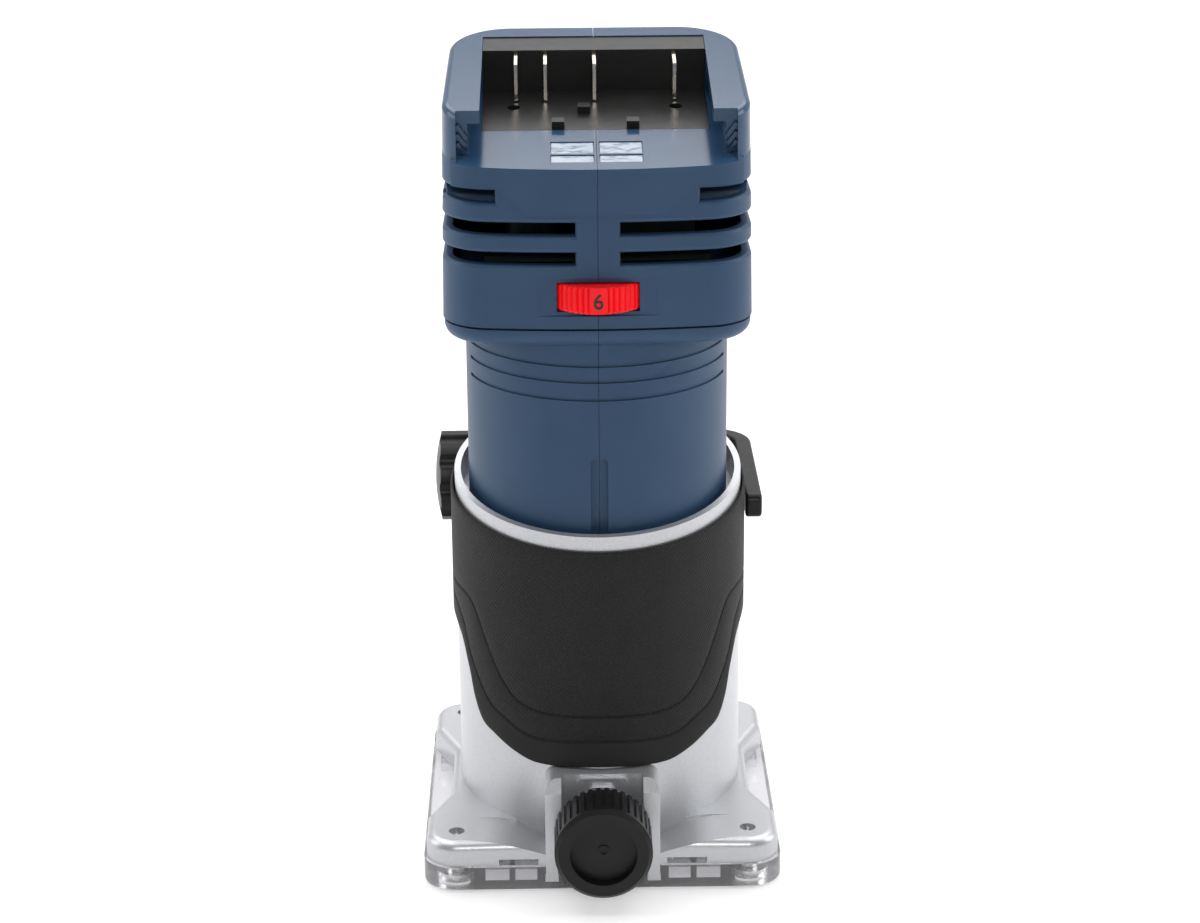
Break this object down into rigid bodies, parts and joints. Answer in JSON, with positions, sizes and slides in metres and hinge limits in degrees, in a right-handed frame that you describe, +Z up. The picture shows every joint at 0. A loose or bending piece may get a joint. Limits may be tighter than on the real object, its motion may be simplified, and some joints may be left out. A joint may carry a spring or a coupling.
{
  "type": "cordless trim router",
  "caption": "Palm-size cordless trim router: clear square foot, cast sleeve with rubber grip, sliding motor unit and a head with battery rails.",
  "frame": {"origin": "centre of the bit opening on the underside of the sub-base, on the spindle axis", "axes": "+Z up along the spindle axis, -Y towards the front with the guide knob and the speed dial, +X to the user's right"},
  "size_m": [0.09, 0.117, 0.2046],
  "materials": {
    "clear_plastic": "clear moulded plastic",
    "cast_aluminium": "satin silver coat on a die casting",
    "grip_rubber": "matte, finely cross-hatched",
    "blue_plastic": "fine spark-eroded texture",
    "black_plastic": "fine satin",
    "red_plastic": "satin gloss",
    "zinc_steel": "bright plated",
    "dark_steel": "oiled ground steel",
    "brass": "turned",
    "copper": "enamelled wire",
    "circuit_board": "solder mask"
  },
  "bodies": {
    "base": {"sub_base": "clear_plastic", "sub_base_screws": "zinc_steel", "base_casting": "cast_aluminium", "grip_sleeve": "grip_rubber", "clamp_bolt": "zinc_steel", "clamp_nut": "zinc_steel", "clamp_washer": "zinc_steel", "lever_pin": "zinc_steel", "pinion_bush": "brass"},
    "motor_unit": {"motor_shell_left": "blue_plastic", "motor_shell_right": "blue_plastic", "end_bell": "cast_aluminium", "end_bell_screws": "zinc_steel", "depth_rack": "dark_steel", "stator_core": "dark_steel", "stator_windings": "copper", "lower_bearing": "zinc_steel", "upper_bearing": "zinc_steel", "bearing_plate": "black_plastic", "upper_shell_left": "blue_plastic", "upper_shell_right": "blue_plastic", "shell_screws": "dark_steel", "terminal_block": "black_plastic", "contact_blades": "zinc_steel", "control_board": "circuit_board", "dial_potentiometer": "black_plastic", "switch_module": "black_plastic"},
    "depth_drive": {"depth_knob": "black_plastic", "pinion_shaft": "dark_steel", "depth_pinion": "dark_steel"},
    "clamp_lever": {"clamp_lever": "black_plastic"},
    "guide_pad": {"guide_washer": "zinc_steel"},
    "guide_knob": {"guide_knob": "black_plastic", "guide_stud": "zinc_steel"},
    "spindle": {"spindle": "zinc_steel", "rotor_core": "dark_steel", "rotor_magnets": "dark_steel", "fan": "black_plastic"},
    "collet": {"collet": "dark_steel"},
    "collet_nut": {"collet_nut": "dark_steel"},
    "speed_dial": {"speed_dial": "red_plastic"},
    "switch_button": {"switch_button": "red_plastic"}
  },
  "joints": [
    {"name": "depth_slide", "type": "slide", "parent": "base", "child": "motor_unit", "axis": [0, 0, 1], "range_m": [-0.018, 0.018]},
    {"name": "depth_knob_turn", "type": "hinge", "parent": "base", "child": "depth_drive", "pos_m": [-0.02, 0.038, 0.0816], "axis": [1, 0, 0], "range_deg": [-175, 175]},
    {"name": "clamp_lever_swing", "type": "hinge", "parent": "base", "child": "clamp_lever", "pos_m": [0.01705, 0.0515, 0.085], "axis": [0, 0, 1], "range_deg": [0, 95]},
    {"name": "guide_pad_travel", "type": "slide", "parent": "base", "child": "guide_pad", "axis": [0, -1, 0], "range_m": [0, 0.002]},
    {"name": "guide_knob_turn", "type": "hinge", "parent": "guide_pad", "child": "guide_knob", "pos_m": [0, -0.052, 0.0164], "axis": [0, -1, 0], "range_deg": [0, 725]},
    {"name": "spindle_spin", "type": "hinge", "parent": "motor_unit", "child": "spindle", "pos_m": [0, 0, 0.09], "axis": [0, 0, 1], "continuous": true},
    {"name": "collet_travel", "type": "slide", "parent": "spindle", "child": "collet", "axis": [0, 0, -1], "range_m": [0, 0.002]},
    {"name": "collet_nut_turn", "type": "hinge", "parent": "collet", "child": "collet_nut", "pos_m": [0, 0, 0.03], "axis": [0, 0, -1], "range_deg": [0, 725]},
    {"name": "speed_dial_turn", "type": "hinge", "parent": "motor_unit", "child": "speed_dial", "pos_m": [0, -0.0294, 0.1515], "axis": [0, 0, 1], "range_deg": [0, 320]},
    {"name": "power_slide", "type": "slide", "parent": "motor_unit", "child": "switch_button", "axis": [0, -0.1736, 0.9848], "range_m": [0, 0.006]}
  ],
  "couplings": [
    {"joint": "depth_knob_turn", "follows": "depth_slide", "rad_per_m": -166.67},
    {"joint": "guide_knob_turn", "follows": "guide_pad_travel", "rad_per_m": 6283.2},
    {"joint": "collet_nut_turn", "follows": "collet_travel", "rad_per_m": 6283.2}
  ]
}
